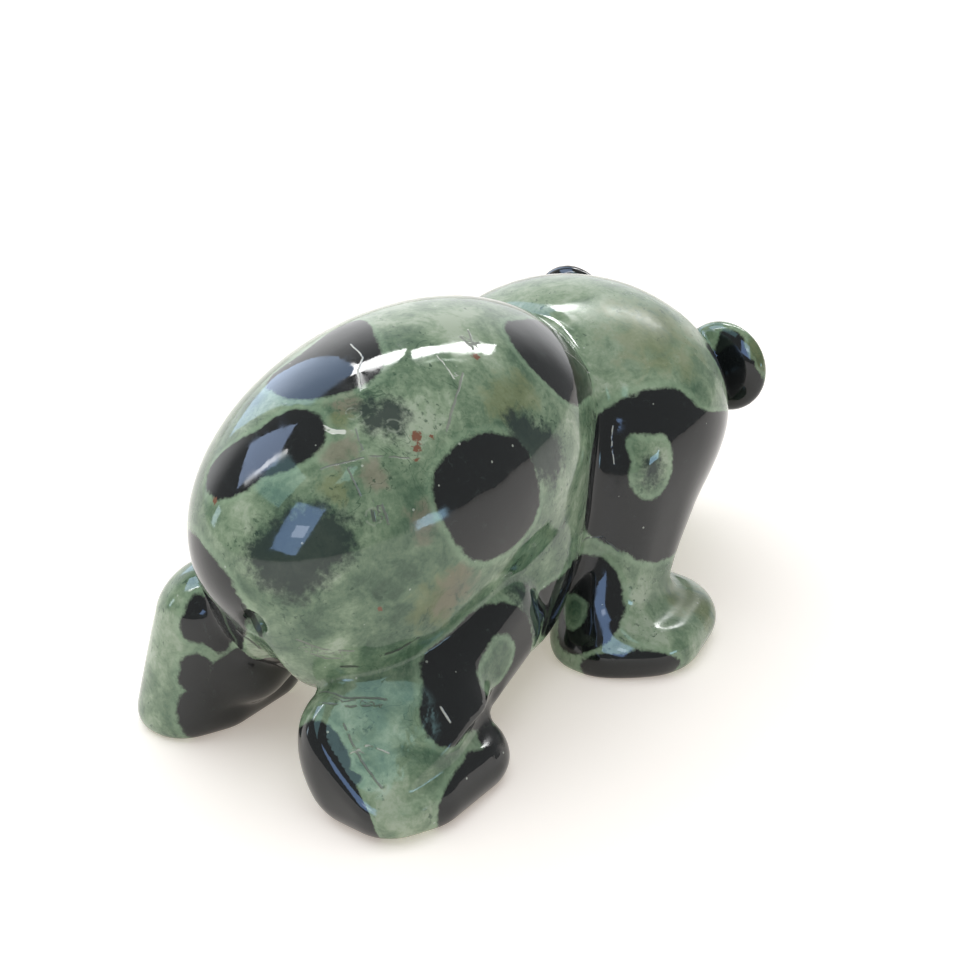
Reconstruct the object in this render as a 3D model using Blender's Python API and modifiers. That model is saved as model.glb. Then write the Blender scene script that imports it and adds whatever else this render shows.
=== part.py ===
"""Small standing bear carved from one piece of green orb jasper and polished.

Metres, +Z up. The bear faces -Y and its right side is -X. The origin is on the ground, under
the middle of its box. The form is a set of rounded pieces that run into each other with stated
fillets. Each piece is first a plain solid, and the joined solids are then settled on the
blended surface. Places and sizes are hundredths of the bear's length, as (out, ahead, up).
"""
import math

import bmesh
import bpy
import numpy as np
from mathutils import Matrix

# Driving size
LENGTH = 0.075  # nose to rump

# Working unit: one hundredth of the length
UNIT = LENGTH / 100
MIDDLE_AHEAD = 1.0  # where the middle of the bear's box lies ahead of the places' zero
RIGHT = 1
LEFT = -1

# Trunk
RUMP = dict(place=(0.0, -18.2, 30.6), radii=(19.2, 30.9, 18.7), lean=5.4)
BELLY = dict(place=(0.0, -8.4, 20.5), radii=(16.5, 17.3, 13.9))
SEAT = dict(place=(1.4, -29.6, 19.1), radii=(13.1, 14.7, 11.3), lean=-7.8)
FLANK = dict(place=(10.2, -11.2, 12.9), radii=(6.2, 8.7, 8.9))
CHEST = dict(place=(0.0, 19.3, 27.6), radii=(21.8, 18.1, 16.3))
BELLY_FILLET = 4.6
SEAT_FILLET = 4.6
FLANK_FILLET = 5.7
WAIST_FILLET = 2.0

# Cuts in the trunk: the arch between the legs, the cleft of the rump and the notch of the tail
ARCH = dict(place=(0.0, -8.0, -2.0), radii=(8.5, 50.0, 12.5))
CLEFT = dict(start=(1.8, -48.2, 20.5), end=(-1.2, -40.5, 9.5), radii=(1.1, 3.6))
TAIL_NOTCH = dict(place=(2.6, -47.6, 23.4), radii=(1.2, 2.2, 2.0))
ARCH_EASE = 2.0
CLEFT_EASE = 1.5
NOTCH_EASE = 0.6

# Head
SKULL = dict(place=(0.0, 34.5, 23.0), radii=(13.8, 12.0, 11.5))
CHEEK = dict(place=(6.0, 38.2, 16.0), radii=(6.4, 6.4, 6.6))
MUZZLE = dict(start=(0.0, 38.0, 18.5), end=(0.0, 45.4, 14.8), radii=(7.6, 4.9))
NOSE = dict(place=(0.0, 48.92, 17.2), radii=(2.7, 2.1, 1.8))
EYE = dict(place=(4.9, 42.5, 22.3), radii=(1.4, 1.4, 1.4))
NECK_FILLET = 6.0
CHEEK_FILLET = 4.0
MUZZLE_FILLET = 3.0
NOSE_FILLET = 0.8
EYE_FILLET = 0.4

# Cuts in the head: eye sockets and the mouth line
SOCKET = dict(place=(5.6, 43.2, 22.4), radii=(2.2, 2.2, 2.2))
LIP_FRONT = dict(start=(0.0, 50.4, 13.4), end=(3.9, 48.2, 12.9), radii=(0.6, 0.6))
LIP_SIDE = dict(start=(3.9, 48.2, 12.9), end=(4.9, 44.2, 12.0), radii=(0.6, 0.6))
SOCKET_EASE = 1.5
LIP_EASE = 0.6

# Ears, round and cupped towards the front
EAR = {RIGHT: dict(place=(14.2, 35.5, 30.0), radii=(6.5, 2.5, 6.5)),
       LEFT: dict(place=(14.2, 39.6, 31.5), radii=(6.6, 2.5, 6.6))}
EAR_CUP = {RIGHT: dict(place=(14.2, 39.1, 30.0), radii=(4.6, 2.5, 4.6)),
           LEFT: dict(place=(14.2, 43.2, 31.5), radii=(4.6, 2.5, 4.6))}
EAR_FILLET = 1.0
EAR_CUP_EASE = 0.8

# Hind legs: a flared shank and a thigh slab, with the knee forward, on a broad foot
SHANK = {RIGHT: dict(height=15.8, top=(12.0, -35.6), top_half=(6.6, 9.4), sole=(14.4, -37.2),
                     sole_half=(7.4, 9.5), rounding=6.0, swell=1.6),
         LEFT: dict(height=22.5, top=(12.2, -34.4), top_half=(6.4, 9.6), sole=(17.4, -35.2),
                    sole_half=(6.5, 11.7), rounding=6.2, swell=0.1)}
THIGH = {RIGHT: dict(place=(11.6, -26.7, 10.7), half=(7.0, 15.4, 7.8), rounding=5.9, lean=23.9),
         LEFT: dict(place=(12.6, -27.6, 12.6), half=(7.0, 15.0, 7.2), rounding=6.2, lean=20.0)}
HIND_FOOT = dict(place=(16.4, -34.0, 1.0), half=(6.9, 10.4, 5.7), corner=6.7, rounding=4.8)
HOCK_FACET = dict(place=(18.8, -43.7, 6.5), facing=(0.52, -0.48, 0.71))
GROOVE_FRONT = dict(start=(20.6, -24.5, 8.2), end=(23.2, -36.4, 7.6), radii=(2.4, 1.9))
GROOVE_REAR = dict(start=(23.2, -36.4, 7.6), end=(20.5, -45.0, 5.6), radii=(1.9, 1.0))
KNEE_FILLET = 1.9
HIND_FOOT_FILLET = 1.6
HAUNCH_FILLET = 1.8
HOCK_EASE = 1.5
GROOVE_EASE = 0.5

# Fore legs: a broad shoulder over a leg that runs back and down to a foot with its toes turned in
SHOULDER = dict(place=(11.4, 17.3, 23.5), radii=(8.7, 12.4, 14.9), lean=-14.0)
ARM = dict(height=32.0, top=(12.3, 14.5), top_half=(6.4, 9.2), sole=(16.0, 3.7),
           sole_half=(6.8, 8.3), rounding=6.2, swell=-0.6)
FORE_FOOT = dict(place=(18.4, 8.9, 1.0), half=(9.2, 11.3, 5.1), corner=8.9, rounding=3.5,
                 toe_in=11.6)
SHOULDER_FILLET = 8.0
FORE_FOOT_FILLET = 3.5
BREAST_FILLET = 3.0

# Soles: ground off flat, with an eased edge. The form runs on below them by the spare.
SOLE_EASE = 3.6
SOLE_SPARE = 0.6

# Mesh: the grain of the settled surface and the triangles kept on the solid
GRAIN = 0.6
EVENING = 0.6  # share of the way to its neighbours' middle that a vertex slides in a round
FEELER = 0.05  # distance over which the surface's direction is felt
LEAST_SLOPE = 0.3
TRIANGLES = 9000
CREASE_DEG = 50.0


def toe_in_turn(points, angle_deg):
    """The points as a foot sees them when its toes are turned inwards by the angle."""
    angle = math.radians(angle_deg)
    turned = points.copy()
    turned[..., 0] = math.cos(angle) * points[..., 0] + math.sin(angle) * points[..., 1]
    turned[..., 1] = math.cos(angle) * points[..., 1] - math.sin(angle) * points[..., 0]
    return turned


def lean_turn(points, angle_deg):
    """The points as an object sees them when its front is lifted by the angle."""
    angle = math.radians(angle_deg)
    turned = points.copy()
    turned[..., 1] = math.cos(angle) * points[..., 1] + math.sin(angle) * points[..., 2]
    turned[..., 2] = math.cos(angle) * points[..., 2] - math.sin(angle) * points[..., 1]
    return turned


def lobe(points, place, radii, lean=0.0):
    """Signed distance, near enough, to an ellipsoid."""
    offset = lean_turn(points - np.array(place), lean)
    radii = np.array(radii)
    first = np.linalg.norm(offset / radii, axis=-1)
    second = np.linalg.norm(offset / radii**2, axis=-1) + 1e-9
    return first * (first - 1) / second


def limb(points, start, end, radii):
    """Signed distance, near enough, to a limb that tapers from one ball to another."""
    start = np.array(start)
    along = np.array(end) - start
    share = np.clip((points - start) @ along / (along @ along), 0, 1)
    nearest = start + share[..., None] * along
    return np.linalg.norm(points - nearest, axis=-1) - radii[0] - share * (radii[1] - radii[0])


def rounded(beyond, rounding):
    """Signed distance to a box, from how far a point is beyond its sides less the rounding."""
    outside = np.linalg.norm(np.maximum(beyond, 0), axis=-1)
    inside = np.minimum(beyond.max(axis=-1), 0)
    return outside + inside - rounding


def block(points, place, half, rounding, lean):
    """Signed distance to a box with rounded edges."""
    offset = lean_turn(points - np.array(place), lean)
    return rounded(np.abs(offset) - (np.array(half) - rounding), rounding)


def post(points, height, top, top_half, sole, sole_half, rounding, swell):
    """Signed distance, near enough, to an upright post whose section changes with height."""
    share = np.clip(points[..., 2:] / height, 0, 1)
    middle = np.array(sole) + share * (np.array(top) - np.array(sole))
    half = np.array(sole_half) + share * (np.array(top_half) - np.array(sole_half))
    half = half + swell * np.sin(math.pi * share)
    beyond = np.abs(points[..., :2] - middle) - (half - rounding)
    above = points[..., 2:] - (height - rounding)
    return rounded(np.concatenate([beyond, above], axis=-1), rounding)


def blend(first, second, fillet):
    """Join two shapes with a fillet of this size."""
    near = np.maximum(fillet - np.abs(first - second), 0) / fillet
    return np.minimum(first, second) - near * near * fillet / 4


def carve(shape, cutter, fillet):
    """Cut one shape with another, with the edge eased by this size."""
    return -blend(-shape, cutter, fillet)


def trunk(points):
    """Rump, belly, seat and chest, with the waist between them and the arch below."""
    barrel = blend(lobe(points, **RUMP), lobe(points, **BELLY), BELLY_FILLET)
    barrel = blend(barrel, lobe(points, **SEAT), SEAT_FILLET)
    barrel = blend(barrel, lobe(points, **FLANK), FLANK_FILLET)
    form = blend(barrel, lobe(points, **CHEST), WAIST_FILLET)
    return carve(form, lobe(points, **ARCH), ARCH_EASE)


def head(points):
    """Skull, cheeks, muzzle, nose, mouth line and eyes."""
    form = blend(lobe(points, **SKULL), lobe(points, **CHEEK), CHEEK_FILLET)
    form = blend(form, limb(points, **MUZZLE), MUZZLE_FILLET)
    form = blend(form, lobe(points, **NOSE), NOSE_FILLET)
    for lip in (LIP_FRONT, LIP_SIDE):
        form = carve(form, limb(points, **lip), LIP_EASE)
    form = carve(form, lobe(points, **SOCKET), SOCKET_EASE)
    return blend(form, lobe(points, **EYE), EYE_FILLET)


def ear(points, side):
    """A round ear with a hollow in its front."""
    return carve(lobe(points, **EAR[side]), lobe(points, **EAR_CUP[side]), EAR_CUP_EASE)


def pad(points, place, half, corner, rounding, toe_in=0.0):
    """Signed distance to a foot's block, with round corners seen from above and a rounded top."""
    offset = toe_in_turn(points - np.array(place), toe_in)
    half = np.array(half)
    around = rounded(np.abs(offset[..., :2]) - (half[:2] - corner), corner) + rounding
    above = np.abs(offset[..., 2]) - (half[2] - rounding)
    return rounded(np.stack([around, above], axis=-1), rounding)


def facet(points, place, facing):
    """Signed distance to everything beyond a flat face through this place."""
    facing = np.array(facing)
    return (np.array(place) - points) @ facing / np.linalg.norm(facing)


def hind_leg(points, side):
    """Shank and thigh, run together, on the foot. The right one is cut to a facet and a groove."""
    leg = blend(post(points, **SHANK[side]), block(points, **THIGH[side]), KNEE_FILLET)
    if side == RIGHT:
        leg = carve(leg, facet(points, **HOCK_FACET), HOCK_EASE)
    leg = blend(leg, pad(points, **HIND_FOOT), HIND_FOOT_FILLET)
    if side == RIGHT:
        for groove in (GROOVE_FRONT, GROOVE_REAR):
            leg = carve(leg, limb(points, **groove), GROOVE_EASE)
    return leg


def fore_leg(points):
    """Shoulder and arm, run together, on the foot."""
    leg = blend(lobe(points, **SHOULDER), post(points, **ARM), SHOULDER_FILLET)
    return blend(leg, pad(points, **FORE_FOOT), FORE_FOOT_FILLET)


def bear(points):
    """Signed distance to the whole bear at points given as (out, ahead, up)."""
    even = np.abs(points * (1, 0, 0)) + points * (0, 1, 1)
    form = blend(trunk(even), head(even), NECK_FILLET)
    form = blend(form, fore_leg(even), BREAST_FILLET)
    form = carve(form, limb(points, **CLEFT), CLEFT_EASE)
    form = carve(form, lobe(points, **TAIL_NOTCH), NOTCH_EASE)
    for side in (RIGHT, LEFT):
        sided = points * (side, 1, 1)
        form = blend(form, hind_leg(sided, side), HAUNCH_FILLET)
        form = blend(form, ear(sided, side), EAR_FILLET)
    return carve(form, points[..., 2] + SOLE_SPARE, SOLE_EASE)


# Mesh

def place_solid(bm, verts, place, size, side, lean=0.0, toe_in=0.0):
    """Size, turn and place a unit solid, on its side of the bear."""
    turn = Matrix.Rotation(math.radians(lean), 4, "X") @ Matrix.Rotation(math.radians(toe_in), 4, "Z")
    mirror = Matrix.Diagonal((side, 1, 1, 1))
    matrix = mirror @ Matrix.Translation(place) @ turn @ Matrix.Diagonal(size).to_4x4()
    bmesh.ops.transform(bm, matrix=matrix, verts=verts)


def lobe_solid(bm, side, place, radii, lean=0.0):
    ball = bmesh.ops.create_icosphere(bm, subdivisions=3, radius=1.0)
    place_solid(bm, ball["verts"], place, radii, side, lean)


def block_solid(bm, side, place, half, rounding, corner=0.0, lean=0.0, toe_in=0.0):
    cube = bmesh.ops.create_cube(bm, size=2.0)
    place_solid(bm, cube["verts"], place, half, side, lean, toe_in)


def post_solid(bm, side, height, top, top_half, sole, sole_half, rounding, swell):
    cube = bmesh.ops.create_cube(bm, size=2.0)
    for vert in cube["verts"]:
        middle, half = (top, top_half) if vert.co.z > 0 else (sole, sole_half)
        vert.co.x = side * (middle[0] + half[0] * vert.co.x)
        vert.co.y = middle[1] + half[1] * vert.co.y
        vert.co.z = height if vert.co.z > 0 else -SOLE_SPARE


def plain_solids():
    """All the pieces as plain solids in one mesh, overlapping where they join."""
    bm = bmesh.new()
    for piece in (RUMP, BELLY, CHEST, SKULL, NOSE):
        lobe_solid(bm, RIGHT, **piece)
    for end, radius in zip((MUZZLE["start"], MUZZLE["end"]), MUZZLE["radii"]):
        lobe_solid(bm, RIGHT, end, (radius, radius, radius))
    for side in (RIGHT, LEFT):
        for piece in (SEAT, FLANK, CHEEK, EAR[side], SHOULDER):
            lobe_solid(bm, side, **piece)
        for piece in (THIGH[side], HIND_FOOT, FORE_FOOT):
            block_solid(bm, side, **piece)
        for piece in (SHANK[side], ARM):
            post_solid(bm, side, **piece)
    bmesh.ops.recalc_face_normals(bm, faces=bm.faces)
    return bm


def slope(points, distance, step=FEELER):
    """Direction and rate in which the distance grows, felt over a small step."""
    growth = np.zeros_like(points)
    for axis in range(3):
        shift = np.zeros(3)
        shift[axis] = step
        growth[:, axis] = (distance(points + shift) - distance(points - shift)) / (2 * step)
    return growth


def settle(mesh, distance, rounds=12):
    """Move the vertices onto the surface where the distance is zero, and even them out on it."""
    count = len(mesh.vertices)
    points = np.empty(count * 3)
    mesh.vertices.foreach_get("co", points)
    points = points.reshape(count, 3)
    ends = np.empty(len(mesh.edges) * 2, dtype=int)
    mesh.edges.foreach_get("vertices", ends)
    ends = np.concatenate([ends.reshape(-1, 2), ends.reshape(-1, 2)[:, ::-1]])
    neighbours = np.bincount(ends[:, 0], minlength=count)[:, None]
    for turn in range(rounds):
        growth = slope(points, distance)
        steepness = np.maximum((growth**2).sum(axis=1, keepdims=True), LEAST_SLOPE)
        points = points - distance(points)[:, None] * growth / steepness
        if turn == rounds - 1:
            break
        middle = np.stack([np.bincount(ends[:, 0], weights=points[ends[:, 1], axis], minlength=count)
                           for axis in range(3)], axis=1) / neighbours
        normal = growth / np.sqrt(steepness)
        pull = middle - points
        points = points + EVENING * (pull - (pull * normal).sum(axis=1, keepdims=True) * normal)
    mesh.vertices.foreach_set("co", points.ravel())
    mesh.update()


def applied(thing, name):
    """The object's mesh as its modifiers leave it. The object itself is removed."""
    depsgraph = bpy.context.evaluated_depsgraph_get()
    mesh = bpy.data.meshes.new_from_object(thing.evaluated_get(depsgraph))
    mesh.name = name
    bpy.data.objects.remove(thing)
    return mesh


def with_modifier(mesh, collection, kind, settings):
    """A mesh with one modifier applied to it."""
    thing = bpy.data.objects.new("work", mesh)
    collection.objects.link(thing)
    modifier = thing.modifiers.new(kind.lower(), kind)
    for name, value in settings.items():
        setattr(modifier, name, value)
    return applied(thing, mesh.name)


def grind_soles(bm):
    """Cut the feet flat on the ground and close them."""
    whole = bm.verts[:] + bm.edges[:] + bm.faces[:]
    bmesh.ops.bisect_plane(bm, geom=whole, dist=1e-4, plane_co=(0, 0, 0), plane_no=(0, 0, 1),
                           clear_inner=True)
    rims = [edge for edge in bm.edges if edge.is_boundary]
    bmesh.ops.edgeloop_fill(bm, edges=rims)
    bmesh.ops.recalc_face_normals(bm, faces=bm.faces)


def carved_bear(collection):
    """The finished solid's mesh, in metres."""
    bm = plain_solids()
    mesh = bpy.data.meshes.new("bear")
    bm.to_mesh(mesh)
    bm.free()
    mesh = with_modifier(mesh, collection, "REMESH", dict(mode="VOXEL", voxel_size=GRAIN))
    settle(mesh, bear)
    share = TRIANGLES / (2 * len(mesh.polygons))
    mesh = with_modifier(mesh, collection, "DECIMATE", dict(ratio=share))
    bm = bmesh.new()
    bm.from_mesh(mesh)
    grind_soles(bm)
    placing = Matrix.Diagonal((-UNIT, -UNIT, UNIT, 1)) @ Matrix.Translation((0, -MIDDLE_AHEAD, 0))
    bmesh.ops.transform(bm, matrix=placing, verts=bm.verts)
    bm.to_mesh(mesh)
    bm.free()
    mesh.shade_smooth()
    mesh.set_sharp_from_angle(angle=math.radians(CREASE_DEG))
    return mesh


def jasper():
    """Polished green jasper."""
    material = bpy.data.materials.new("polished_jasper")
    material.use_nodes = True
    shader = material.node_tree.nodes["Principled BSDF"]
    shader.inputs["Base Color"].default_value = (0.09, 0.16, 0.10, 1)
    shader.inputs["Roughness"].default_value = 0.12
    shader.inputs["Metallic"].default_value = 0.0
    return material


def build():
    for thing in list(bpy.data.objects):
        bpy.data.objects.remove(thing)
    collection = bpy.data.collections.new("jasper_bear_carving")
    bpy.context.scene.collection.children.link(collection)
    carving = bpy.data.objects.new("bear", carved_bear(collection))
    carving.data.materials.append(jasper())
    collection.objects.link(carving)


build()
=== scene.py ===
"""The looks of the small polished bear: its finely carved surface, its green orb jasper, the
white paper it stands on and the soft light of the windows round it.

Places and sizes on the bear are hundredths of its length and become metres at the end. A place is
(out, ahead, up), with out towards the bear's right. The bear faces -Y and its right side is -X.
"""
import math

import bmesh
import bpy
import numpy as np
from mathutils import Matrix, Vector


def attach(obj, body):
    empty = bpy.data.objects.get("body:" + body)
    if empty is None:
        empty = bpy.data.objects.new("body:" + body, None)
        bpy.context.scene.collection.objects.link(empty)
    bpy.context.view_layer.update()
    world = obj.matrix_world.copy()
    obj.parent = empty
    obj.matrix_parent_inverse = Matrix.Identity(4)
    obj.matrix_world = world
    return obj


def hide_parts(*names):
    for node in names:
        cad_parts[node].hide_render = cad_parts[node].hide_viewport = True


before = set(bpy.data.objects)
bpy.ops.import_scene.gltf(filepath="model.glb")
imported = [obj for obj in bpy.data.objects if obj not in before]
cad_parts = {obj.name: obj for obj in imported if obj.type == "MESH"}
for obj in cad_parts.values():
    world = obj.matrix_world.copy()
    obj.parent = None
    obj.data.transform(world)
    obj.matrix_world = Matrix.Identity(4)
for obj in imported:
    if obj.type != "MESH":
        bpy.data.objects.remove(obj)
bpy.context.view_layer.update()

# Working unit: one hundredth of the bear's length, in metres
LENGTH = 0.075
UNIT = LENGTH / 100
MIDDLE_AHEAD = 1.0
RIGHT = 1
LEFT = -1
MM = 1000.0  # millimetres in a metre
TINY = 1e-9  # keeps a length of nothing from being divided by

# Trunk
RUMP = dict(place=(0.0, -18.2, 30.6), radii=(19.2, 30.9, 18.7), lean=5.4)
BELLY = dict(place=(0.0, -8.4, 20.5), radii=(16.5, 17.3, 13.9))
SEAT = dict(place=(1.4, -29.6, 19.1), radii=(13.1, 14.7, 11.3), lean=-7.8)
FLANK = dict(place=(10.2, -11.2, 12.9), radii=(6.2, 8.7, 8.9))
CHEST = dict(place=(0.0, 19.3, 27.6), radii=(21.8, 18.1, 16.3))
BELLY_FILLET = 4.6
SEAT_FILLET = 4.6
FLANK_FILLET = 5.7
WAIST_FILLET = 2.0

# Cuts in the trunk: the arch between the legs, the cleft of the rump and the notch of the tail
ARCH = dict(place=(0.0, -8.0, -2.0), radii=(8.5, 50.0, 12.5))
CLEFT = dict(start=(1.8, -48.2, 20.5), end=(-1.2, -40.5, 9.5), radii=(1.1, 3.6))
TAIL_NOTCH = dict(place=(2.6, -47.6, 23.4), radii=(1.2, 2.2, 2.0))
ARCH_EASE = 2.0
CLEFT_EASE = 1.5
NOTCH_EASE = 0.6

# Head
SKULL = dict(place=(0.0, 34.5, 23.0), radii=(13.8, 12.0, 11.5))
CHEEK = dict(place=(6.0, 38.2, 16.0), radii=(6.4, 6.4, 6.6))
MUZZLE = dict(start=(0.0, 38.0, 18.5), end=(0.0, 45.4, 14.8), radii=(7.6, 4.9))
NOSE = dict(place=(0.0, 48.92, 17.2), radii=(2.7, 2.1, 1.8))
EYE = dict(place=(4.9, 42.5, 22.3), radii=(1.4, 1.4, 1.4))
NECK_FILLET = 6.0
CHEEK_FILLET = 4.0
MUZZLE_FILLET = 3.0
NOSE_FILLET = 0.8
EYE_FILLET = 0.4

# Cuts in the head: eye sockets and the mouth line
SOCKET = dict(place=(5.6, 43.2, 22.4), radii=(2.2, 2.2, 2.2))
LIP_FRONT = dict(start=(0.0, 50.4, 13.4), end=(3.9, 48.2, 12.9), radii=(0.6, 0.6))
LIP_SIDE = dict(start=(3.9, 48.2, 12.9), end=(4.9, 44.2, 12.0), radii=(0.6, 0.6))
SOCKET_EASE = 1.5
LIP_EASE = 0.6

# Ears, round and cupped towards the front
EAR = {RIGHT: dict(place=(14.2, 35.5, 30.0), radii=(6.5, 2.5, 6.5)),
       LEFT: dict(place=(14.2, 39.6, 31.5), radii=(6.6, 2.5, 6.6))}
EAR_CUP = {RIGHT: dict(place=(14.2, 39.1, 30.0), radii=(4.6, 2.5, 4.6)),
           LEFT: dict(place=(14.2, 43.2, 31.5), radii=(4.6, 2.5, 4.6))}
EAR_FILLET = 1.0
EAR_CUP_EASE = 0.8

# Hind legs: a flared shank and a thigh slab, with the knee forward, on a broad foot
SHANK = {RIGHT: dict(height=15.8, top=(12.0, -35.6), top_half=(6.6, 9.4), sole=(14.4, -37.2),
                     sole_half=(7.4, 9.5), rounding=6.0, swell=1.6),
         LEFT: dict(height=22.5, top=(12.2, -34.4), top_half=(6.4, 9.6), sole=(17.4, -35.2),
                    sole_half=(6.5, 11.7), rounding=6.2, swell=0.1)}
THIGH = {RIGHT: dict(place=(11.6, -26.7, 10.7), half=(7.0, 15.4, 7.8), rounding=5.9, lean=23.9),
         LEFT: dict(place=(12.6, -27.6, 12.6), half=(7.0, 15.0, 7.2), rounding=6.2, lean=20.0)}
HIND_FOOT = dict(place=(16.4, -34.0, 1.0), half=(6.9, 10.4, 5.7), corner=6.7, rounding=4.8)
HOCK_FACET = dict(place=(18.8, -43.7, 6.5), facing=(0.52, -0.48, 0.71))
GROOVE_FRONT = dict(start=(20.6, -24.5, 8.2), end=(23.2, -36.4, 7.6), radii=(2.4, 1.9))
GROOVE_REAR = dict(start=(23.2, -36.4, 7.6), end=(20.5, -45.0, 5.6), radii=(1.9, 1.0))
KNEE_FILLET = 1.9
HIND_FOOT_FILLET = 1.0
HAUNCH_FILLET = 1.0
HOCK_EASE = 1.0
GROOVE_EASE = 0.8

# Fore legs: a broad shoulder over a leg that runs back and down to a foot with its toes turned in
SHOULDER = dict(place=(11.4, 17.3, 23.5), radii=(8.7, 12.4, 14.9), lean=-14.0)
ARM = dict(height=32.0, top=(12.3, 14.5), top_half=(6.4, 9.2), sole=(16.0, 3.7),
           sole_half=(6.8, 8.3), rounding=6.2, swell=-0.6)
FORE_FOOT = dict(place=(18.4, 8.9, 1.0), half=(9.2, 11.3, 5.1), corner=8.9, rounding=3.5,
                 toe_in=11.6)
SHOULDER_FILLET = 8.0
FORE_FOOT_FILLET = 3.5
BREAST_FILLET = 3.0

# Soles: ground off flat, with an eased edge. The form runs on below them by the spare.
SOLE_EASE = 3.6
SOLE_SPARE = 0.6

# Fine mesh
GRAIN = 0.48
SETTLE_ROUNDS = 8
EVENING = 0.6  # share of the way to the middle of its neighbours that a vertex slides in a round
FEELER = 0.05  # step over which a slope is felt
LEAST_SLOPE = 0.3
SKIN = 0.04  # how far the surface stays inside the solid's, so that it keeps to the solid's box
WELD = 1e-6  # metres
GROUND_SLACK = 1e-4
CREASE_DEG = 50

# Stone
QUARTZ_IOR = 1.54
WAVE_DEPTH = 0.00006  # metres
MOSTLY_UP = 0.8  # the rise of its facing above which an orb's reaches start ahead, not up
RING_SINK = 0.2  # how much the depth below a ring counts in the distance to it
BEYOND_MARKS = 99.0

# Paper, table and room
PAPER_GLOW = 0.36
TABLE_HALF = 4.0  # metres
AIM_HEIGHT = 0.015  # metres above the table, from where the windows are seen in their directions
BRIGHT_AZIMUTH = 50
ROOM_GLOW = 0.38
BRIGHT_GLOW = 1.3

# Camera, fitted to the photograph: metres, degrees, and the lens and film width in millimetres
CAMERA_PLACE = (-0.0842, 0.1155, 0.0841)
CAMERA_AHEAD = (0.593, -0.805)
CAMERA_DOWN_DEG = 25.8
CAMERA_LENS = 58.78
CAMERA_SENSOR = 36.0
CAMERA_NEAR = 0.005


def toe_in_turn(points, angle_deg):
    """The points as a foot sees them when its toes are turned inwards by the angle."""
    angle = math.radians(angle_deg)
    turned = points.copy()
    turned[..., 0] = math.cos(angle) * points[..., 0] + math.sin(angle) * points[..., 1]
    turned[..., 1] = math.cos(angle) * points[..., 1] - math.sin(angle) * points[..., 0]
    return turned


def lean_turn(points, angle_deg):
    """The points as an object sees them when its front is lifted by the angle."""
    angle = math.radians(angle_deg)
    turned = points.copy()
    turned[..., 1] = math.cos(angle) * points[..., 1] + math.sin(angle) * points[..., 2]
    turned[..., 2] = math.cos(angle) * points[..., 2] - math.sin(angle) * points[..., 1]
    return turned


def lobe(points, place, radii, lean=0.0):
    """Signed distance, near enough, to an ellipsoid."""
    offset = lean_turn(points - np.array(place), lean)
    radii = np.array(radii)
    first = np.linalg.norm(offset / radii, axis=-1)
    second = np.linalg.norm(offset / radii**2, axis=-1) + TINY
    return first * (first - 1) / second


def limb(points, start, end, radii):
    """Signed distance, near enough, to a limb that tapers from one ball to another."""
    start = np.array(start)
    along = np.array(end) - start
    share = np.clip((points - start) @ along / (along @ along), 0, 1)
    nearest = start + share[..., None] * along
    return np.linalg.norm(points - nearest, axis=-1) - radii[0] - share * (radii[1] - radii[0])


def rounded(beyond, rounding):
    """Signed distance to a box, from how far a point is beyond its sides less the rounding."""
    outside = np.linalg.norm(np.maximum(beyond, 0), axis=-1)
    inside = np.minimum(beyond.max(axis=-1), 0)
    return outside + inside - rounding


def block(points, place, half, rounding, lean):
    """Signed distance to a box with rounded edges."""
    offset = lean_turn(points - np.array(place), lean)
    return rounded(np.abs(offset) - (np.array(half) - rounding), rounding)


def post(points, height, top, top_half, sole, sole_half, rounding, swell):
    """Signed distance, near enough, to an upright post whose section changes with height."""
    share = np.clip(points[..., 2:] / height, 0, 1)
    middle = np.array(sole) + share * (np.array(top) - np.array(sole))
    half = np.array(sole_half) + share * (np.array(top_half) - np.array(sole_half))
    half = half + swell * np.sin(math.pi * share)
    beyond = np.abs(points[..., :2] - middle) - (half - rounding)
    above = points[..., 2:] - (height - rounding)
    return rounded(np.concatenate([beyond, above], axis=-1), rounding)


def blend(first, second, fillet):
    """Join two shapes with a fillet of this size."""
    near = np.maximum(fillet - np.abs(first - second), 0) / fillet
    return np.minimum(first, second) - near * near * fillet / 4


def carve(shape, cutter, fillet):
    """Cut one shape with another, with the edge eased by this size."""
    return -blend(-shape, cutter, fillet)


def trunk(points):
    """Rump, belly, seat and chest, with the waist between them and the arch below."""
    barrel = blend(lobe(points, **RUMP), lobe(points, **BELLY), BELLY_FILLET)
    barrel = blend(barrel, lobe(points, **SEAT), SEAT_FILLET)
    barrel = blend(barrel, lobe(points, **FLANK), FLANK_FILLET)
    form = blend(barrel, lobe(points, **CHEST), WAIST_FILLET)
    return carve(form, lobe(points, **ARCH), ARCH_EASE)


def head(points):
    """Skull, cheeks, muzzle, nose, mouth line and eyes."""
    form = blend(lobe(points, **SKULL), lobe(points, **CHEEK), CHEEK_FILLET)
    form = blend(form, limb(points, **MUZZLE), MUZZLE_FILLET)
    form = blend(form, lobe(points, **NOSE), NOSE_FILLET)
    for lip in (LIP_FRONT, LIP_SIDE):
        form = carve(form, limb(points, **lip), LIP_EASE)
    form = carve(form, lobe(points, **SOCKET), SOCKET_EASE)
    return blend(form, lobe(points, **EYE), EYE_FILLET)


def ear(points, side):
    """A round ear with a hollow in its front."""
    return carve(lobe(points, **EAR[side]), lobe(points, **EAR_CUP[side]), EAR_CUP_EASE)


def pad(points, place, half, corner, rounding, toe_in=0.0):
    """Signed distance to a foot's block, with round corners seen from above and a rounded top."""
    offset = toe_in_turn(points - np.array(place), toe_in)
    half = np.array(half)
    around = rounded(np.abs(offset[..., :2]) - (half[:2] - corner), corner) + rounding
    above = np.abs(offset[..., 2]) - (half[2] - rounding)
    return rounded(np.stack([around, above], axis=-1), rounding)


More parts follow.
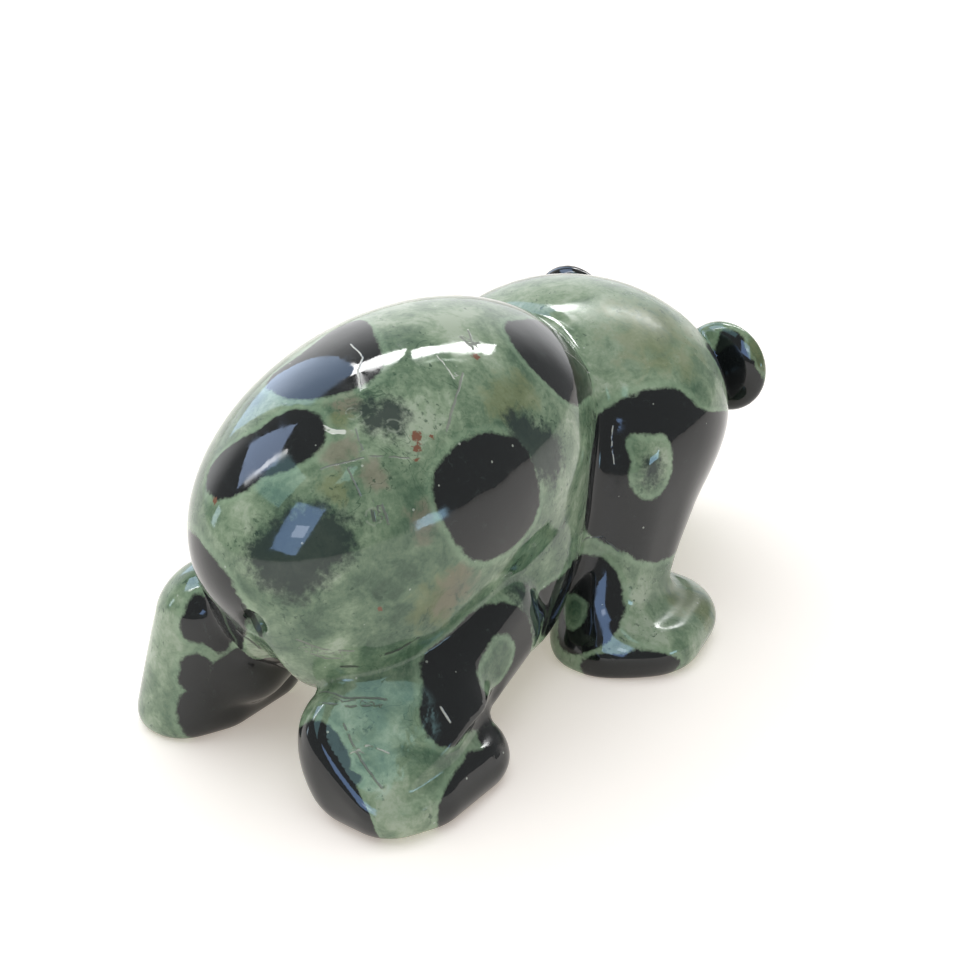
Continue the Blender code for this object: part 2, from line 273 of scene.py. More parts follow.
def facet(points, place, facing):
    """Signed distance to everything beyond a flat face through this place."""
    facing = np.array(facing)
    return (np.array(place) - points) @ facing / np.linalg.norm(facing)


def hind_leg(points, side):
    """Shank and thigh, run together, on the foot. The right one is cut to a facet and a groove."""
    leg = blend(post(points, **SHANK[side]), block(points, **THIGH[side]), KNEE_FILLET)
    if side == RIGHT:
        leg = carve(leg, facet(points, **HOCK_FACET), HOCK_EASE)
    leg = blend(leg, pad(points, **HIND_FOOT), HIND_FOOT_FILLET)
    if side == RIGHT:
        for groove in (GROOVE_FRONT, GROOVE_REAR):
            leg = carve(leg, limb(points, **groove), GROOVE_EASE)
    return leg


def fore_leg(points):
    """Shoulder and arm, run together, on the foot."""
    leg = blend(lobe(points, **SHOULDER), post(points, **ARM), SHOULDER_FILLET)
    return blend(leg, pad(points, **FORE_FOOT), FORE_FOOT_FILLET)


def bear(points):
    """Signed distance to the whole bear at points given as (out, ahead, up)."""
    even = np.abs(points * (1, 0, 0)) + points * (0, 1, 1)
    form = blend(trunk(even), head(even), NECK_FILLET)
    form = blend(form, fore_leg(even), BREAST_FILLET)
    form = carve(form, limb(points, **CLEFT), CLEFT_EASE)
    form = carve(form, lobe(points, **TAIL_NOTCH), NOTCH_EASE)
    for side in (RIGHT, LEFT):
        sided = points * (side, 1, 1)
        form = blend(form, hind_leg(sided, side), HAUNCH_FILLET)
        form = blend(form, ear(sided, side), EAR_FILLET)
    return carve(form, points[..., 2] + SOLE_SPARE, SOLE_EASE) + SKIN


def slope(points, distance):
    """Direction and rate in which the distance grows, felt over a small step."""
    growth = np.zeros_like(points)
    for axis in range(3):
        shift = np.zeros(3)
        shift[axis] = FEELER
        growth[:, axis] = (distance(points + shift) - distance(points - shift)) / (2 * FEELER)
    return growth


def settle(mesh, distance, rounds):
    """Move the vertices onto the surface where the distance is zero, and even them out on it."""
    count = len(mesh.vertices)
    points = np.empty(count * 3)
    mesh.vertices.foreach_get("co", points)
    points = points.reshape(count, 3)
    ends = np.empty(len(mesh.edges) * 2, dtype=int)
    mesh.edges.foreach_get("vertices", ends)
    ends = np.concatenate([ends.reshape(-1, 2), ends.reshape(-1, 2)[:, ::-1]])
    neighbours = np.bincount(ends[:, 0], minlength=count)[:, None]
    for turn in range(rounds):
        growth = slope(points, distance)
        steepness = np.maximum((growth**2).sum(axis=1, keepdims=True), LEAST_SLOPE)
        points = points - distance(points)[:, None] * growth / steepness
        if turn == rounds - 1:
            break
        total = np.stack([np.bincount(ends[:, 0], points[ends[:, 1], axis], minlength=count)
                          for axis in range(3)], axis=1)
        middle = total / neighbours
        normal = growth / np.sqrt(steepness)
        pull = middle - points
        points = points + EVENING * (pull - (pull * normal).sum(axis=1, keepdims=True) * normal)
    mesh.vertices.foreach_set("co", points.ravel())
    mesh.update()


def with_modifier(mesh, kind, settings):
    """A mesh with one modifier applied to it."""
    thing = bpy.data.objects.new("work", mesh)
    bpy.context.scene.collection.objects.link(thing)
    modifier = thing.modifiers.new(kind.lower(), kind)
    for name, value in settings.items():
        setattr(modifier, name, value)
    depsgraph = bpy.context.evaluated_depsgraph_get()
    made = bpy.data.meshes.new_from_object(thing.evaluated_get(depsgraph))
    bpy.data.objects.remove(thing)
    return made


def grind_soles(bm):
    """Cut the feet flat on the ground and close them."""
    whole = bm.verts[:] + bm.edges[:] + bm.faces[:]
    bmesh.ops.bisect_plane(bm, geom=whole, dist=GROUND_SLACK, plane_co=(0, 0, 0),
                           plane_no=(0, 0, 1), clear_inner=True)
    rims = [edge for edge in bm.edges if edge.is_boundary]
    bmesh.ops.edgeloop_fill(bm, edges=rims)
    for vert in bm.verts:
        vert.co.z = max(vert.co.z, 0.0)
    bmesh.ops.recalc_face_normals(bm, faces=bm.faces)


# Sage green from deep to pale: where each stands on the scale of tones
GREENS = ((0.36, "#354d3d"), (0.45, "#506a54"), (0.53, "#6b8369"), (0.60, "#889d82"),
          (0.68, "#a5b49e"))
# The stone's orbs. Each has its middle on the surface, the way it faces, and its reach from the
# middle in twelve directions, which start ahead or up and turn by 30 degrees.
ORBS = dict(
    back=((-0.6, -29.0, 47.5), (-0.03, -0.28, 0.96),
          (6.9, 10.7, 7.1, 6.4, 8.3, 7.5, 6.9, 6.2, 5.7, 5.8, 5.5, 5.4)),
    band=((-0.1, -41.7, 41.3), (-0.01, -0.61, 0.79),
          (5.7, 3.7, 3.3, 4.6, 7.7, 7.4, 5.3, 3.6, 3.6, 4.8, 6.6, 7.2)),
    crisp=((18.1, -25.6, 34.6), (0.95, -0.17, 0.25),
           (6.8, 6.9, 7.4, 6.6, 6.1, 6.8, 7.5, 8.4, 9.4, 8.5, 8.2, 7.3)),
    saddle=((12.6, -5.1, 43.1), (0.69, 0.24, 0.68),
            (7.0, 6.4, 5.6, 4.8, 4.7, 5.2, 6.1, 7.5, 12.3, 11.3, 8.6, 6.8)),
    low=((17.1, -9.7, 13.7), (0.99, 0.06, -0.15),
         (3.6, 4.2, 5.2, 4.0, 2.9, 4.3, 5.7, 7.4, 7.0, 6.6, 5.8, 4.2)),
    shoulder=((20.0, 7.4, 26.0), (0.89, -0.43, 0.16),
              (9.6, 9.3, 10.3, 9.5, 11.2, 11.1, 12.8, 15.0, 18.9, 19.2, 11.1, 10.7)),
    crescent=((17.3, -0.8, 9.3), (0.36, -0.86, 0.36),
              (6.1, 6.8, 5.8, 5.6, 6.1, 7.8, 5.8, 4.6, 3.7, 3.4, 3.5, 4.5)),
    foot_band=((23.6, -1.3, 2.3), (0.59, -0.80, -0.05),
               (2.3, 2.1, 3.3, 6.6, 6.4, 5.1, 3.9, 3.6, 5.0, 5.8, 3.6, 2.5)),
    buttock=((-1.5, -48.5, 25.8), (-0.12, -0.96, -0.26),
             (4.9, 6.5, 8.3, 7.0, 10.6, 14.5, 7.2, 4.6, 3.7, 4.0, 3.8, 4.3)),
    inner_top=((-9.8, -43.7, 17.5), (0.51, -0.84, 0.19),
               (3.1, 3.0, 2.4, 2.7, 3.1, 3.0, 2.8, 4.7, 3.0, 1.5, 1.9, 2.2)),
    inner_spot=((-10.9, -44.4, 10.5), (0.60, -0.80, -0.04),
                (2.7, 2.3, 2.1, 1.9, 2.5, 2.7, 2.3, 2.0, 1.9, 2.0, 2.3, 2.7)),
    inner_low=((-8.0, -40.3, 7.1), (0.72, -0.64, -0.28),
               (6.1, 5.7, 4.6, 7.0, 8.6, 9.4, 9.1, 11.2, 10.4, 7.1, 6.8, 9.0)),
    thigh=((18.2, -28.3, 14.4), (0.92, -0.09, 0.39),
           (4.8, 4.7, 6.0, 7.3, 10.8, 7.8, 8.0, 9.3, 11.9, 10.7, 8.9, 6.4)),
    heel=((13.5, -47.0, 7.9), (0.34, -0.79, 0.51),
          (3.4, 6.4, 7.2, 6.3, 6.0, 6.5, 7.5, 8.9, 2.8, 2.6, 1.4, 2.1)),
    toe=((23.0, -34.7, 3.9), (0.96, 0.00, 0.29),
         (2.6, 2.8, 3.6, 5.9, 6.3, 5.0, 4.5, 5.2, 7.3, 10.4, 4.5, 3.3)),
    toe_corner=((20.6, -27.9, 5.9), (0.34, 0.10, 0.93),
                (3.4, 1.6, 1.3, 0.9, 1.5, 2.1, 2.8, 2.6, 2.3, 2.3, 2.2, 3.0)),
    right_ear=((17.5, 33.4, 31.1), (0.22, -0.97, 0.07),
               (4.2, 5.6, 4.1, 5.1, 6.3, 7.4, 8.2, 5.4, 4.0, 3.1, 3.1, 3.5)),
    left_ear=((-15.5, 38.5, 32.5), (-0.20, -0.97, 0.10), (7.5,) * 12),
    left_flank=((-18.5, -22.0, 31.0), (-0.97, -0.05, 0.25),
                (7.5, 8.2, 9.0, 7.2, 6.1, 5.6, 6.4, 7.9, 8.8, 8.1, 7.0, 6.9)),
    left_loin=((-13.0, -3.0, 41.0), (-0.70, 0.15, 0.70),
               (5.1, 4.2, 3.9, 4.8, 6.3, 7.2, 6.1, 4.4, 3.8, 4.1, 5.0, 5.6)),
    left_shoulder=((-20.5, 13.0, 22.0), (-0.97, 0.10, 0.10),
                   (9.5, 8.0, 7.2, 7.9, 9.4, 10.6, 11.5, 10.2, 8.4, 7.6, 8.3, 9.4)),
    left_thigh=((-19.0, -31.0, 13.0), (-0.95, 0.05, 0.25),
                (6.2, 7.4, 6.8, 5.3, 4.9, 5.6, 6.7, 5.9, 4.8, 4.2, 4.7, 5.5)),
    left_toe=((-22.0, 12.0, 4.0), (-0.85, 0.45, 0.25),
              (3.4, 4.1, 5.2, 4.6, 3.7, 3.2, 3.6, 4.4, 5.0, 4.3, 3.5, 3.1)),
    brow=((5.0, 33.0, 34.0), (0.20, 0.15, 0.97),
          (4.8, 5.6, 4.9, 3.7, 3.2, 3.9, 5.1, 5.8, 5.2, 4.1, 3.6, 4.0)),
    jaw=((-5.5, 40.5, 13.0), (-0.60, 0.55, -0.55),
         (3.1, 3.8, 4.4, 3.9, 3.0, 2.6, 3.2, 4.0, 4.3, 3.7, 2.9, 2.7)),
    breast=((3.0, 36.0, 17.0), (0.20, 0.95, -0.25),
            (5.0, 5.9, 6.6, 5.7, 4.6, 4.1, 4.9, 6.0, 6.4, 5.5, 4.4, 4.2)),
    belly=((-2.0, 4.0, 11.0), (0.00, 0.00, -1.00),
           (6.3, 5.5, 4.6, 5.2, 6.4, 7.3, 6.6, 5.4, 4.9, 5.6, 6.8, 7.1)),
)
# Pale places inside them
HOLLOWS = dict(
    ring=((19.7, 7.1, 26.6), (0.85, -0.47, 0.21),
          (3.9, 4.7, 3.1, 2.8, 3.5, 4.2, 4.5, 4.1, 3.6, 3.5, 3.8, 4.3)),
    half=((14.8, -1.8, 7.8), (-0.02, -0.93, 0.37),
          (2.2, 2.5, 2.4, 2.3, 2.2, 2.4, 2.6, 1.9, 1.6, 1.4, 1.7, 2.0)),
    spot=((18.6, -24.6, 13.0), (1.00, 0.00, 0.00),
          (3.1, 2.8, 3.0, 3.9, 4.1, 3.5, 3.3, 3.4, 3.6, 3.8, 3.5, 3.5)),
    ear_band=((19.6, 34.7, 32.9), (0.64, -0.68, 0.35),
              (3.8, 3.2, 1.5, 1.2, 0.9, 0.8, 1.7, 3.4, 2.8, 1.9, 2.0, 2.2)),
    left_ring=((-21.0, 14.0, 21.0), (-0.97, 0.10, 0.10),
               (2.6, 3.4, 3.0, 2.2, 1.9, 2.4, 3.1, 3.6, 2.9, 2.1, 1.8, 2.2)),
)
# Orbs that are only a cloud of dark grains
CLOUDS = dict(
    rump=((8.1, -45.3, 33.1), (0.57, -0.76, 0.30),
          (4.5, 3.9, 4.4, 5.3, 5.1, 5.0, 4.7, 3.9, 3.7, 5.2, 5.6, 5.2)),
    veil=((18.0, -15.5, 37.1), (0.94, 0.03, 0.35),
          (3.2, 5.5, 4.1, 2.5, 2.6, 3.0, 4.0, 5.1, 4.5, 3.2, 2.6, 2.2)),
    flank=((18.4, -16.7, 16.0), (0.96, 0.27, 0.12),
           (3.0, 4.1, 2.7, 2.3, 1.8, 1.6, 3.1, 5.8, 5.1, 2.5, 2.1, 2.6)),
    smear=((9.3, -31.4, 44.1), (0.50, -0.32, 0.80),
           (1.6, 2.1, 2.3, 1.9, 1.8, 1.6, 1.5, 1.9, 2.2, 1.9, 1.3, 1.5)),
    second_smear=((7.8, -32.9, 44.4), (0.42, -0.36, 0.83),
                  (0.9, 1.8, 1.8, 1.5, 1.2, 0.9, 0.6, 1.6, 1.7, 1.5, 1.3, 1.1)),
    pupil=((19.8, 7.0, 26.1), (0.87, -0.47, 0.18),
           (1.3, 1.2, 1.0, 0.8, 0.9, 1.3, 1.5, 1.5, 1.1, 0.9, 1.1, 1.3)),
    left_veil=((-18.5, -34.0, 25.0), (-0.80, -0.50, 0.20),
               (3.2, 3.9, 4.6, 5.1, 4.2, 3.1, 2.7, 3.3, 4.4, 5.0, 4.3, 3.4)),
    left_arm=((-19.0, 4.0, 12.0), (-0.95, -0.20, 0.10),
              (2.6, 3.3, 3.9, 3.1, 2.4, 2.2, 2.9, 3.6, 3.2, 2.5, 2.1, 2.3)),
)
# Where the green is lighter or darker than its mean: middle, reach and amount
TONES = (
    ((10.9, -26.5, 44.7), 5.6, 0.07), ((14.0, -28.8, 41.0), 4.7, 0.06),
    ((18.0, -7.4, 31.0), 9.0, 0.10), ((1.6, -16.5, 49.4), 9.2, 0.07),
    ((8.5, 13.9, 41.8), 10.0, 0.07), ((17.2, 19.9, 37.8), 8.8, 0.05),
    ((12.7, -41.3, 28.2), 5.4, -0.07), ((16.0, -35.1, 28.4), 6.5, -0.06),
    ((7.8, -45.6, 24.8), 5.2, -0.03), ((-1.8, -47.8, 33.7), 4.2, 0.03),
    ((20.8, 3.8, 10.5), 4.8, 0.04), ((-14.8, -45.2, 14.0), 5.4, 0.07),
    ((20.1, -44.5, 4.7), 3.3, 0.05), ((24.2, 1.1, 5.5), 4.1, 0.03), ((9.5, -31.8, 43.8), 3.5, 0.04),
    ((16.3, -17.1, 40.5), 3.6, -0.06), ((15.4, -31.1, 16.7), 3.0, -0.03),
    ((-14.0, -12.0, 42.0), 9.0, 0.06), ((-18.0, 20.0, 33.0), 7.0, -0.06),
    ((11.0, -29.8, 43.5), 4.6, 0.12), ((11.9, -37.9, 37.9), 4.4, 0.10),
    ((9.5, -43.7, 22.0), 4.4, 0.09), ((14.5, -39.0, 12.5), 5.0, 0.05),
    ((22.5, 2.0, 7.0), 5.0, 0.04),
)
# Olive and brown stains: middle and reach
OLIVE = (
    ((5.4, -35.6, 44.1), 2.2), ((9.0, -40.3, 39.0), 2.6), ((14.8, -17.8, 42.5), 4.8),
    ((14.7, -14.8, 42.7), 3.9), ((16.3, -32.1, 24.0), 5.3), ((23.8, 12.3, 6.1), 5.3),
    ((13.0, 17.0, 39.0), 9.0), ((20.0, 34.7, 32.9), 5.0), ((-16.0, -40.0, 30.0), 4.5),
    ((-12.0, 30.0, 33.0), 3.5),
)
BROWN = (
    ((7.5, -37.8, 41.9), 2.9), ((4.5, -33.3, 45.4), 2.6), ((15.8, -33.9, 34.5), 3.2),
    ((16.9, -30.2, 24.6), 4.3), ((11.4, -36.6, 39.6), 2.4), ((-17.0, -8.0, 30.0), 3.5),
)
# The crown of the shoulders and the tops of the right toes, buffed less: middle and reach
SATIN = (((11.0, 17.0, 41.0), 11.0), ((16.0, 26.0, 36.0), 9.0), ((22.0, 10.0, 6.5), 8.0),
         ((20.5, -27.5, 6.5), 4.0))
# Grains of rust
RUST = (
    ((12.2, -30.5, 42.2), 0.9), ((12.8, -31.2, 41.2), 0.7), ((13.3, -32.0, 40.2), 0.4),
    ((-3.2, -46.2, 36.2), 0.6), ((10.0, -16.8, 46.7), 0.7), ((13.2, -29.0, 41.9), 0.4),
    ((13.6, -39.2, 25.2), 0.4), ((-18.0, -16.0, 36.0), 0.6),
)
# Fine marks along lines of places, each with how pale it is and half its width in millimetres. The
# dark marks in the haunch crease, the tail's notch and the cleft are painted shade.
LINES = dict(
    back_crack=(0.95, 0.07, ((-0.8, -25.8, 48.3), (2.0, -27.1, 47.9), (2.9, -29.2, 47.2),
                             (4.5, -30.7, 46.4))),
    strip_crack=(0.9, 0.06, ((8.1, -21.1, 47.3), (9.3, -21.4, 46.7), (10.3, -21.7, 46.1))),
    white_nick=(1.0, 0.20, ((4.9, -37.0, 43.5), (5.8, -36.8, 43.3), (6.5, -36.3, 43.3))),
    ridge=(0.8, 0.06, ((15.0, 5.1, 31.1), (15.5, 4.2, 29.3), (16.1, 3.8, 27.7))),
    saddle_scratch=(0.6, 0.06, ((10.9, 0.4, 42.2), (11.2, 2.9, 40.1), (10.6, 6.1, 37.6))),
    squiggle=(0.7, 0.06, ((13.8, -44.4, 9.7), (14.5, -43.1, 10.1), (16.2, -42.2, 9.4))),
    hock_scratch=(0.8, 0.08, ((18.9, -35.2, 12.1), (19.7, -35.3, 11.4))),
    vein=(0.25, 0.10, ((10.9, -20.7, 45.8), (12.4, -23.8, 44.2), (13.7, -27.1, 42.1))),
    cross_line=(0.2, 0.07, ((7.3, -39.9, 40.6), (8.6, -38.2, 41.0), (9.6, -36.6, 41.3),
                            (12.5, -33.0, 40.7))),
    side_line=(0.2, 0.07, ((7.8, -35.3, 43.2), (9.1, -36.0, 42.0))),
    lower_line=(0.2, 0.07, ((9.4, -38.4, 40.1), (10.9, -38.8, 38.4))),
    # Dark marks along the haunch crease: painted shade in the crease, with a shallow groove in the
    # relief
    haunch_crease_painted_shade=(0.0, 0.14, ((12.8, -37.7, 18.4), (13.7, -36.2, 18.7), (14.6, -34.4, 19.4))),
    low_crease_painted_shade=(0.0, 0.16, ((9.8, -41.0, 17.4), (10.8, -40.0, 17.3))),
    shank_lines_a=(0.15, 0.08, ((7.3, -42.3, 13.9), (10.3, -41.8, 14.0), (13.4, -39.1, 13.6))),
    shank_lines_b=(0.15, 0.07, ((8.5, -43.6, 13.5), (11.2, -42.0, 13.3), (13.3, -40.0, 13.1))),
    rump_lines_a=(0.25, 0.09, ((7.0, -44.9, 21.6), (8.9, -43.1, 20.3), (10.8, -41.2, 19.9))),
    rump_lines_b=(0.25, 0.08, ((6.9, -44.5, 20.2), (8.6, -42.8, 19.0), (10.2, -41.4, 18.9))),
    # Dark marks in the tail's notch and down the cleft of the rump: painted shade in these cuts,
    # with a shallow groove in the relief
    tail_notch_painted_shade=(0.0, 0.22, ((2.3, -48.4, 25.9), (1.6, -46.5, 23.6), (2.4, -46.4, 21.6))),
    cleft_painted_shade=(0.0, 0.16, ((-1.0, -46.3, 20.4), (-0.2, -45.5, 19.4), (-0.5, -43.8, 17.5))),
    foot_line=(0.1, 0.10, ((14.8, -0.4, 17.7), (16.2, 1.5, 17.9), (17.9, 2.2, 16.4))),
    heel_line=(0.2, 0.09, ((11.9, -43.6, 11.6), (14.5, -44.4, 9.1), (17.4, -44.6, 6.9))),
    chip_a=(0.05, 0.16, ((12.3, -38.3, 37.0), (12.8, -38.6, 35.9))),
    chip_b=(0.15, 0.10, ((13.1, -37.4, 36.6), (13.7, -37.5, 35.3))),
    pit_a=(0.1, 0.12, ((7.4, -15.9, 48.0), (8.6, -16.1, 47.5), (8.7, -15.0, 47.4))),
    pit_b=(0.1, 0.10, ((7.0, -14.1, 48.1), (8.8, -15.9, 47.3))),
    left_vein=(0.2, 0.09, ((-17.0, -12.0, 37.0), (-18.5, -9.0, 31.0), (-18.0, -4.0, 25.0))),
    left_crack=(0.8, 0.06, ((-19.0, 10.0, 33.5), (-20.5, 12.0, 28.5), (-20.0, 15.0, 24.0))),
)
# Small rings drawn in the stone: middle, the way they face, and radius
RINGS = (
    ((10.1, -31.8, 43.4), (0.55, -0.33, 0.77), 0.8),
    ((6.3, -33.9, 44.6), (0.35, -0.39, 0.86), 0.8),
    ((12.7, -38.6, 35.9), (0.76, -0.50, 0.41), 0.9),
)


def orb(points, middle, facing, reach):
    """Signed distance, near enough, to the outline of an orb, and so within the stone under it."""
    facing = np.array(facing) / np.linalg.norm(facing)
    start = np.array((0.0, 1.0, 0.0) if abs(facing[2]) > MOSTLY_UP else (0.0, 0.0, 1.0))
    start = start - (start @ facing) * facing
    start = start / np.linalg.norm(start)
    offset = points - np.array(middle)
    along = offset @ start
    across = offset @ np.cross(facing, start)
    share = np.arctan2(across, along) / (2 * math.pi) % 1 * len(reach)
    step = np.floor(share).astype(int)
    part = share - step
    # A smooth curve through the reaches on both sides
    before, this, after, beyond = (np.array(reach)[(step + k) % len(reach)] for k in (-1, 0, 1, 2))
    edge = this + part * ((after - before) / 2
                          + part * (before - 2.5 * this + 2 * after - beyond / 2
                                    + part * (1.5 * (this - after) + (beyond - before) / 2)))
    outline = np.hypot(along, across) - edge
    return np.maximum(outline, np.abs(offset @ facing) - max(reach))


def nearest(points, marks):
    """Signed distance to the nearest of the marks."""
    return np.min([orb(points, *mark) for mark in marks.values()], axis=0)


def strongest(points, stains):
    """How deep inside the stains each point is, from 0 at their rims and beyond to 1."""
    depths = [1 - np.linalg.norm(points - middle, axis=1) / reach for middle, reach in stains]
    return np.clip(np.max(depths, axis=0), 0, 1)


def nearest_line(points, normals):
    """For the nearest fine mark: how far a point is to its side and away from it in millimetres,
    how pale the mark is and half its width."""
    found = np.full((len(points), 4), BEYOND_MARKS)
    for pale, half_width, places in LINES.values():
        for start, end in zip(places, places[1:]):
            start = np.array(start)
            along = np.array(end) - start
            offset = points - start
            share = np.clip(offset @ along / (along @ along), 0, 1)
            off = offset - share[:, None] * along
            away = np.linalg.norm(off, axis=1)
            side = np.cross(along, normals)
            side = side / (np.linalg.norm(side, axis=1, keepdims=True) + TINY)
            across = (off * side).sum(axis=1)
            closer = away < found[:, 1]
            found[closer, 0] = across[closer]
            found[closer, 1] = away[closer]
            found[closer, 2:] = pale, half_width
    found[:, :2] *= UNIT * MM
    return found


def pattern(mesh, points, normals):
    """Write the stone's pattern on the vertices. Distances are in millimetres."""
    dark = np.maximum(nearest(points, ORBS), -nearest(points, HOLLOWS))
    tone = sum(amount * np.exp(-((points - middle) ** 2).sum(axis=1) / reach**2)
               for middle, reach, amount in TONES)
    ring = np.min([np.abs(np.linalg.norm(points - middle, axis=1) - radius)
                   + np.abs((points - middle) @ np.array(facing)) * RING_SINK
                   for middle, facing, radius in RINGS], axis=0)
    across, away, pale, line_half = nearest_line(points, normals).T
    layers = dict(orb=dark * UNIT * MM, cloud=nearest(points, CLOUDS) * UNIT * MM, tone=tone,
                  olive=strongest(points, OLIVE), brown=strongest(points, BROWN),
                  rust=strongest(points, RUST), satin=strongest(points, SATIN),
                  ring=ring * UNIT * MM, across=across, away=away, pale=pale,
                  line_half=line_half)
    for name, values in layers.items():
        layer = mesh.attributes.new(name, "FLOAT", "POINT")
        layer.data.foreach_set("value", np.asarray(values, dtype=np.float32))


def carved_bear():
    """The finely carved surface, in metres, with the pattern on it."""
    bm = bmesh.new()
    bm.from_mesh(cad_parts["bear"].data)
    bmesh.ops.remove_doubles(bm, verts=bm.verts, dist=WELD)
    placing = Matrix.Diagonal((-UNIT, -UNIT, UNIT, 1)) @ Matrix.Translation((0, -MIDDLE_AHEAD, 0))
    bmesh.ops.transform(bm, matrix=placing.inverted(), verts=bm.verts)
    bmesh.ops.recalc_face_normals(bm, faces=bm.faces)
    mesh = bpy.data.meshes.new("carved")
    bm.to_mesh(mesh)
    bm.free()
    mesh = with_modifier(mesh, "REMESH", dict(mode="VOXEL", voxel_size=GRAIN))
    settle(mesh, bear, SETTLE_ROUNDS)
    bm = bmesh.new()
    bm.from_mesh(mesh)
    grind_soles(bm)
    bm.to_mesh(mesh)
    points = np.array([vert.co for vert in bm.verts])
    normals = np.array([vert.normal for vert in bm.verts])
    pattern(mesh, points, normals)
    bm.free()
    mesh.transform(placing)
    mesh.materials.clear()
    mesh.shade_smooth()
    mesh.set_sharp_from_angle(angle=math.radians(CREASE_DEG))
    mesh.update()
    return mesh


def linear(colour):
    """An sRGB hex colour as linear red, green, blue and alpha."""
    parts = [int(colour[i:i + 2], 16) / 255 for i in (1, 3, 5)]
    return [p / 12.92 if p <= 0.04045 else ((p + 0.055) / 1.055) ** 2.4 for p in parts] + [1.0]


def add(tree, kind, links=None, **settings):
    """Add a node, set its properties and sockets, and link sockets to other nodes' outputs."""
    node = tree.nodes.new(kind)
    for name, value in settings.items():
        setattr(node, name, value)
    for socket, source in (links or {}).items():
        target = node.inputs[socket]
        if isinstance(source, bpy.types.NodeSocket):
            tree.links.new(source, target)
        elif isinstance(source, str):
            target.default_value = linear(source)
        else:
            target.default_value = source
    return node


def jasper():
    """Green orb jasper, cut, sanded and buffed to a mirror gloss. Sage quartz, drifted with paler
    and deeper green and stained olive and brown, holds near-black orbs. Fine cracks are filled
    with polishing powder or open and dark, and the buffed face still waves a little. Dark lines
    in the haunch crease, the tail's notch and the cleft are painted shade."""
    material = bpy.data.materials.new("orb_jasper")
    material.use_nodes = True
    tree = material.node_tree
    shader = tree.nodes["Principled BSDF"]
    place = add(tree, "ShaderNodeTexCoord").outputs["Object"]
    mm = add(tree, "ShaderNodeVectorMath", {0: place, "Scale": MM}, operation="SCALE").outputs[0]

    def layer(name):
        return add(tree, "ShaderNodeAttribute", attribute_name=name).outputs["Fac"]

    def noise(per_mm, detail=4.0, roughness=0.55, distortion=0.0):
        return add(tree, "ShaderNodeTexNoise", {"Vector": mm, "Scale": per_mm, "Detail": detail,
                                                "Roughness": roughness,
                                                "Distortion": distortion}).outputs["Fac"]

    def span(value, low, high, start=0.0, end=1.0, kind="SMOOTHSTEP"):
        return add(tree, "ShaderNodeMapRange", {0: value, 1: low, 2: high, 3: start, 4: end},
                   interpolation_type=kind).outputs[0]

    def maths(kind, first, second=0.0):
        return add(tree, "ShaderNodeMath", {0: first, 1: second}, operation=kind).outputs[0]

    def tint(share, under, over):
        return add(tree, "ShaderNodeMix", {0: share, 6: under, 7: over}, data_type="RGBA").outputs[2]

    orb_mm = layer("orb")
    drift = noise(0.11, 5.0, 0.55, 0.8)
    mottle = noise(0.55, 7.0, 0.62, 0.5)
    fine = noise(2.6, 4.0, 0.65)

    # Ground: sage, from a deep to a pale green, in broad drifts with finer mottling in them
    both = add(tree, "ShaderNodeMix", {0: 0.38, 2: drift, 3: mottle},
               data_type="FLOAT").outputs[0]
    lit = maths("ADD", maths("ADD", both, layer("tone")), span(fine, 0.3, 0.7, -0.005, 0.035))
    ground = add(tree, "ShaderNodeValToRGB", {0: lit})
    stops = ground.color_ramp.elements
    stops[0].position, stops[1].position = GREENS[0][0], GREENS[-1][0]
    for position, _ in GREENS[1:-1]:
        stops.new(position)
    for stop, (_, green) in zip(stops, GREENS):
        stop.color = linear(green)
    colour = ground.outputs[0]

    # Stains of olive and brown, with ragged rims
    ragged = span(mottle, 0.35, 0.65, -0.35, 0.35, "LINEAR")
    olive = span(maths("ADD", layer("olive"), ragged), 0.05, 0.75, 0.0, 0.55)
    olive = maths("MULTIPLY", olive, span(layer("olive"), 0.0, 0.15))
    colour = tint(olive, colour, "#757b50")
    brown = span(maths("ADD", layer("brown"), ragged), 0.05, 0.75, 0.0, 0.6)
    brown = maths("MULTIPLY", brown, span(layer("brown"), 0.0, 0.15))
    colour = tint(brown, colour, "#7f7467")

    # Flecks of dark green, about 0.3 mm across, that come in drifts
    flecks = span(noise(1.7, 3.0, 0.6, 0.3), 0.58, 0.68)
    shoals = span(noise(0.16, 3.0, 0.6, 0.5), 0.48, 0.60)
    colour = tint(maths("MULTIPLY", maths("MULTIPLY", flecks, shoals), 0.75), colour, "#2f4a3a")
    # Winding hair veins, where a broad noise crosses its middle
    winding = maths("ABSOLUTE", maths("SUBTRACT", noise(0.13, 4.0, 0.5, 1.2), 0.52))
    hair = maths("MULTIPLY", span(winding, 0.006, 0.001), span(drift, 0.50, 0.42))
    colour = tint(maths("MULTIPLY", hair, 0.6), colour, "#34503f")

    # Round each orb: a pale rim, then faint bands 0.8 mm apart that die out over 3 mm
    waver = noise(0.9, 3.0)
    rim = maths("MULTIPLY", span(orb_mm, 0.9, 0.35), 0.45)
    colour = tint(rim, colour, "#8fa98c")
    banded = maths("MULTIPLY", maths("ADD", orb_mm, span(waver, 0.3, 0.7, -0.5, 0.5)), 7.8)
    bands = span(maths("SINE", banded), 0.2, 1.0)
    fading = maths("MULTIPLY", span(orb_mm, 3.2, 0.8), span(drift, 0.62, 0.40, 0.0, 0.4))
    colour = tint(maths("MULTIPLY", bands, fading), colour, "#4b6b52")

    # Orbs: a crisp, slightly wavering edge, green-black inside with lighter shreds
    edge = maths("ADD", orb_mm, span(waver, 0.3, 0.7, -0.14, 0.14, "LINEAR"))
    edge = maths("ADD", edge, span(fine, 0.3, 0.7, -0.10, 0.10, "LINEAR"))
    dark = span(edge, 0.22, -0.20)
    shreds = maths("MULTIPLY", span(noise(0.7, 6.0, 0.7, 1.5), 0.56, 0.74), 0.5)
    ink = tint(shreds, "#15191a", "#34403d")
